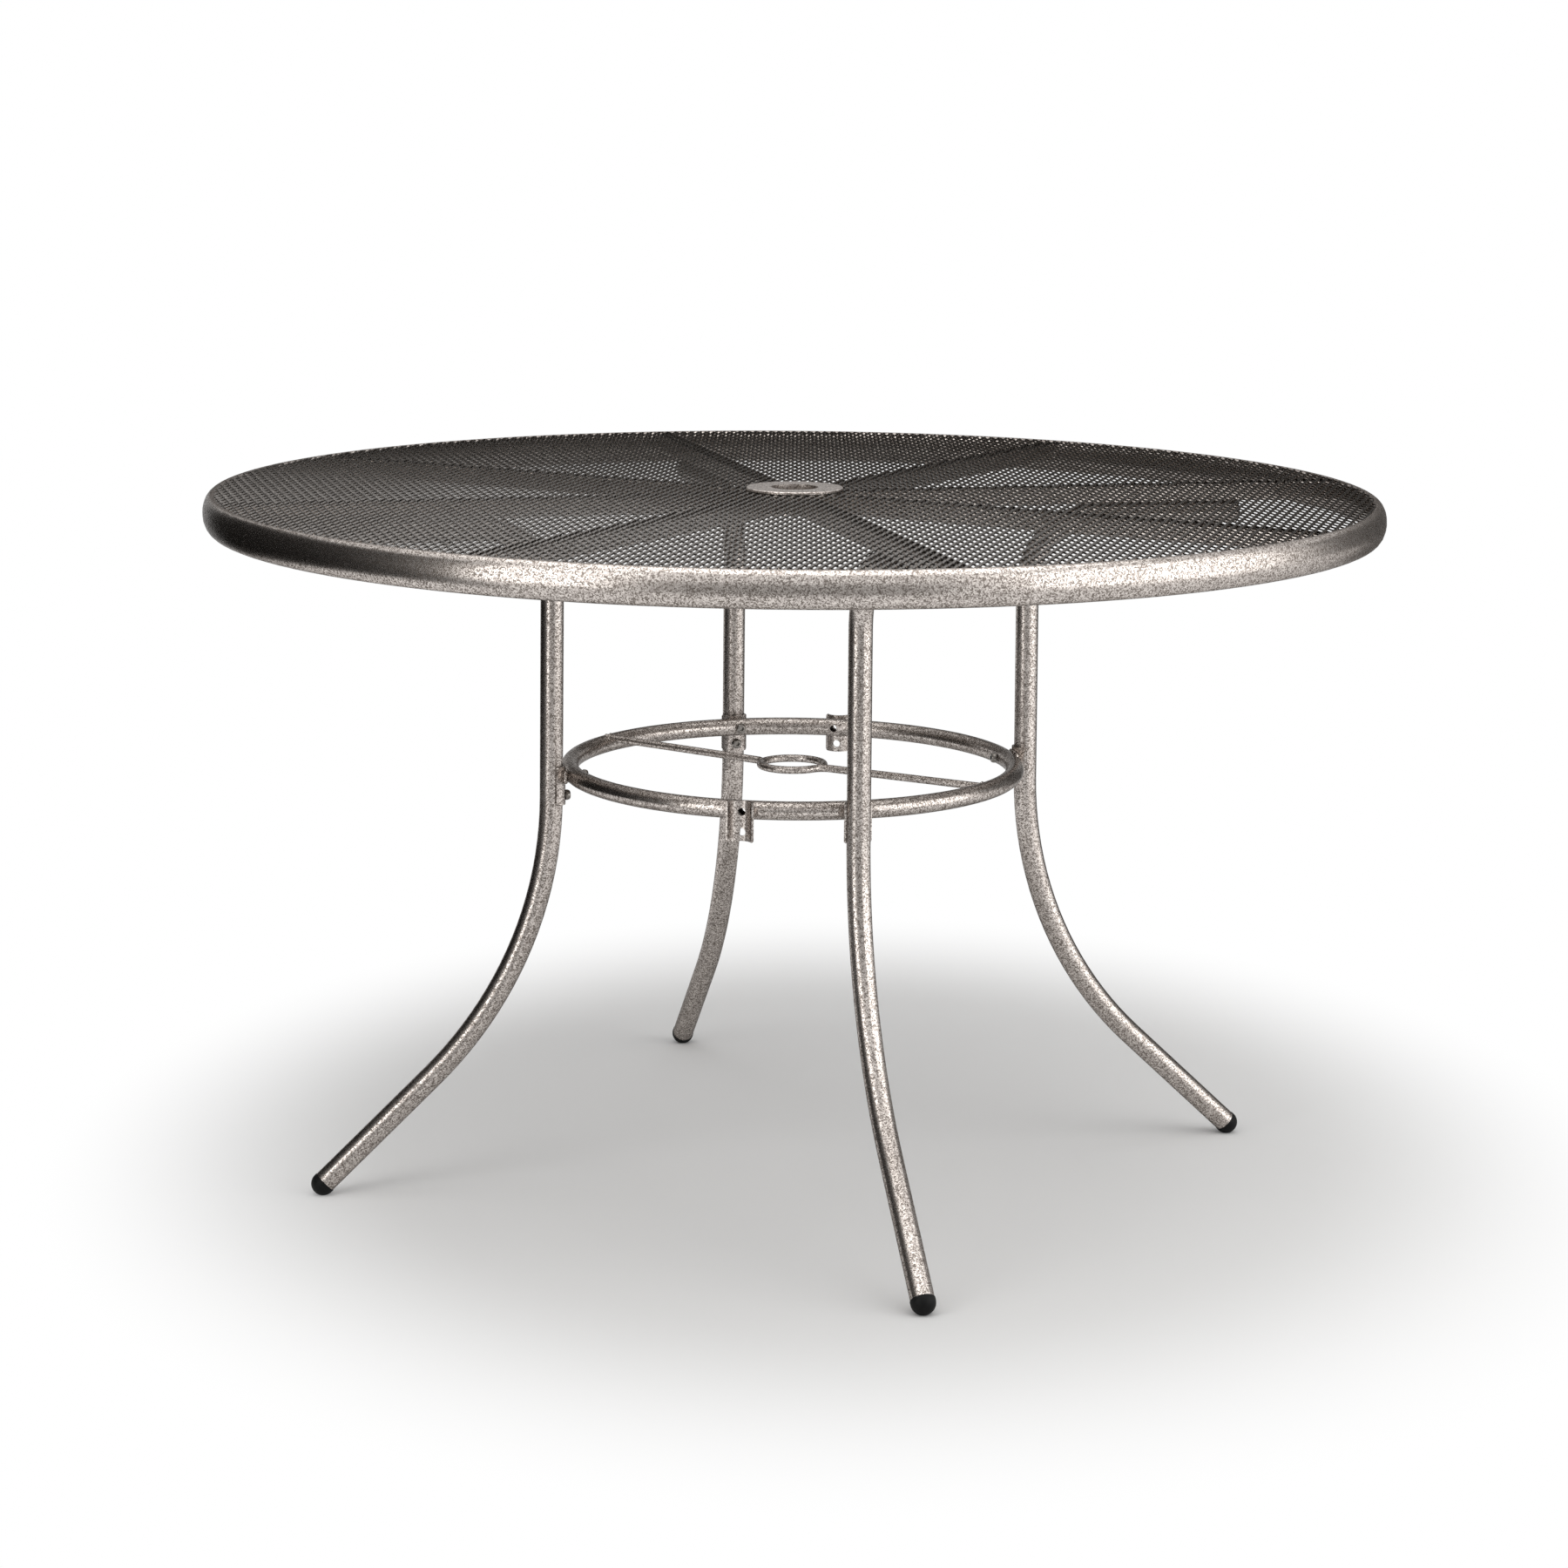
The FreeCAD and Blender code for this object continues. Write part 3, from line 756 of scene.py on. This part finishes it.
# Where the photograph was taken from, in its own axes, and how the camera was turned
CAMERA_PLACE = (0.0, -3.8495, 1.1824)
CAMERA_PAN = -0.0022
CAMERA_PITCH = 0.19664
CAMERA_ROLL = 0.0087
CAMERA_LENS = 85.265
CAMERA_SENSOR = 36.0


def pale_rays(tree):
    """One for the rays that see the background: straight, in a gloss or through glass."""
    path = tree.nodes.new("ShaderNodeLightPath")
    found = path.outputs["Is Camera Ray"]
    for kind in ("Is Glossy Ray", "Is Transmission Ray"):
        most = tree.nodes.new("ShaderNodeMath")
        most.operation = "MAXIMUM"
        tree.links.new(found, most.inputs[0])
        tree.links.new(path.outputs[kind], most.inputs[1])
        found = most.outputs[0]
    return found


def make_floor():
    """A pale floor, greyer under the table as a painted shadow, that shows as plain white
    further out.
    """
    bpy.ops.mesh.primitive_plane_add(size=FLOOR_SIZE)
    floor = bpy.context.object
    floor.name = "floor"
    floor.rotation_euler = (0.0, 0.0, PHOTO_TURN)
    m = Nodes("floor")
    m.shader.inputs["Base Color"].default_value = (*FLOOR_SHADE, 1.0)
    m.set(roughness=0.95, level=0.05)
    shift = m.add("ShaderNodeVectorMath", operation="SUBTRACT")
    shift.inputs[1].default_value = (*SHADE_CENTRE, 0.0)
    squeeze = m.add("ShaderNodeVectorMath", operation="MULTIPLY")
    squeeze.inputs[1].default_value = (1.0, SHADE_SQUEEZE, 1.0)
    away = m.add("ShaderNodeVectorMath", operation="LENGTH")
    m.link(m.place, shift.inputs[0])
    m.link(shift.outputs[0], squeeze.inputs[0])
    m.link(squeeze.outputs[0], away.inputs[0])
    far = m.add("ShaderNodeMapRange", interpolation_type="SMOOTHSTEP")
    far.inputs["From Min"].default_value = SHADE_START
    far.inputs["From Max"].default_value = SHADE_END
    m.link(away.outputs["Value"], far.inputs["Value"])
    share = m.add("ShaderNodeMath", operation="MULTIPLY")
    m.link(far.outputs["Result"], share.inputs[0])
    m.link(pale_rays(m.tree), share.inputs[1])
    white = m.add("ShaderNodeEmission")
    mix = m.add("ShaderNodeMixShader")
    m.link(share.outputs[0], mix.inputs[0])
    m.link(m.shader.outputs[0], mix.inputs[1])
    m.link(white.outputs[0], mix.inputs[2])
    m.link(mix.outputs[0], m.tree.nodes["Material Output"].inputs["Surface"])
    dress(floor, m.material)


def make_screen(name, span, radius, edges, shade):
    """A dull upright screen round part of the table, hidden from all rays but the gloss."""
    verts, faces = [], []
    for degrees in np.linspace(span[0], span[1], SCREEN_PANELS + 1):
        angle = math.radians(degrees)
        for z in edges:
            verts.append(photo_point(radius * math.cos(angle), radius * math.sin(angle), z))
    for k in range(SCREEN_PANELS):
        faces.append((2 * k, 2 * k + 2, 2 * k + 3, 2 * k + 1))
    mesh = bpy.data.meshes.new(name)
    mesh.from_pydata(verts, [], faces)
    screen = bpy.data.objects.new(name, mesh)
    bpy.context.scene.collection.objects.link(screen)
    m = Nodes(name)
    m.shader.inputs["Base Color"].default_value = (shade, shade, shade, 1.0)
    m.set(roughness=1.0, level=0.0)
    dress(screen, m.material)
    screen.visible_camera = False
    screen.visible_diffuse = False
    screen.visible_shadow = False
    screen.visible_transmission = False


def make_lamp(name, place, target, size, watts):
    """A soft box of light that faces its target."""
    data = bpy.data.lights.new(name, "AREA")
    data.shape = "RECTANGLE"
    data.size, data.size_y = size
    data.energy = watts
    data.color = LAMP_COLOR
    lamp = bpy.data.objects.new(name, data)
    bpy.context.scene.collection.objects.link(lamp)
    lamp.location = photo_point(*place)
    way = photo_point(*target) - lamp.location
    lamp.rotation_euler = way.to_track_quat("-Z", "Y").to_euler()
    lamp.visible_camera = False


def make_world():
    """Soft light from all round, which shows as white behind the table."""
    world = bpy.data.worlds.new("studio")
    bpy.context.scene.world = world
    world.use_nodes = True
    tree = world.node_tree
    ground = tree.nodes["Background"]
    ground.inputs["Color"].default_value = (*WHITE, 1.0)
    level = tree.nodes.new("ShaderNodeMapRange")
    level.inputs["To Min"].default_value = ROOM_LIGHT
    level.inputs["To Max"].default_value = 1.0
    tree.links.new(pale_rays(tree), level.inputs["Value"])
    tree.links.new(level.outputs["Result"], ground.inputs["Strength"])


def make_camera():
    """The camera that took the photograph."""
    pan_c, pan_s = math.cos(CAMERA_PAN), math.sin(CAMERA_PAN)
    tilt_c, tilt_s = math.cos(CAMERA_PITCH), math.sin(CAMERA_PITCH)
    roll_c, roll_s = math.cos(CAMERA_ROLL), math.sin(CAMERA_ROLL)
    right = Vector((pan_c, -pan_s, 0.0))
    ahead = Vector((pan_s, pan_c, 0.0))
    up = ahead * tilt_s + Vector((0.0, 0.0, tilt_c))
    forward = ahead * tilt_c - Vector((0.0, 0.0, tilt_s))
    turned_right = right * roll_c + up * roll_s
    turned_up = up * roll_c - right * roll_s
    axes = Matrix((turned_right, turned_up, -forward)).transposed()
    data = bpy.data.cameras.new("camera")
    data.sensor_fit = "HORIZONTAL"
    data.sensor_width = CAMERA_SENSOR
    data.lens = CAMERA_LENS
    data.clip_end = 100.0
    camera = bpy.data.objects.new("camera", data)
    bpy.context.scene.collection.objects.link(camera)
    camera.matrix_world = (PHOTO_AXES @ axes).to_4x4()
    camera.location = photo_point(*CAMERA_PLACE)
    bpy.context.scene.camera = camera


make_floor()
make_world()
for name, screen in SCREENS.items():
    make_screen(name, *screen)
for name, lamp in LAMPS.items():
    make_lamp(name, *lamp)
make_camera()
bpy.context.scene.view_settings.view_transform = "Standard"
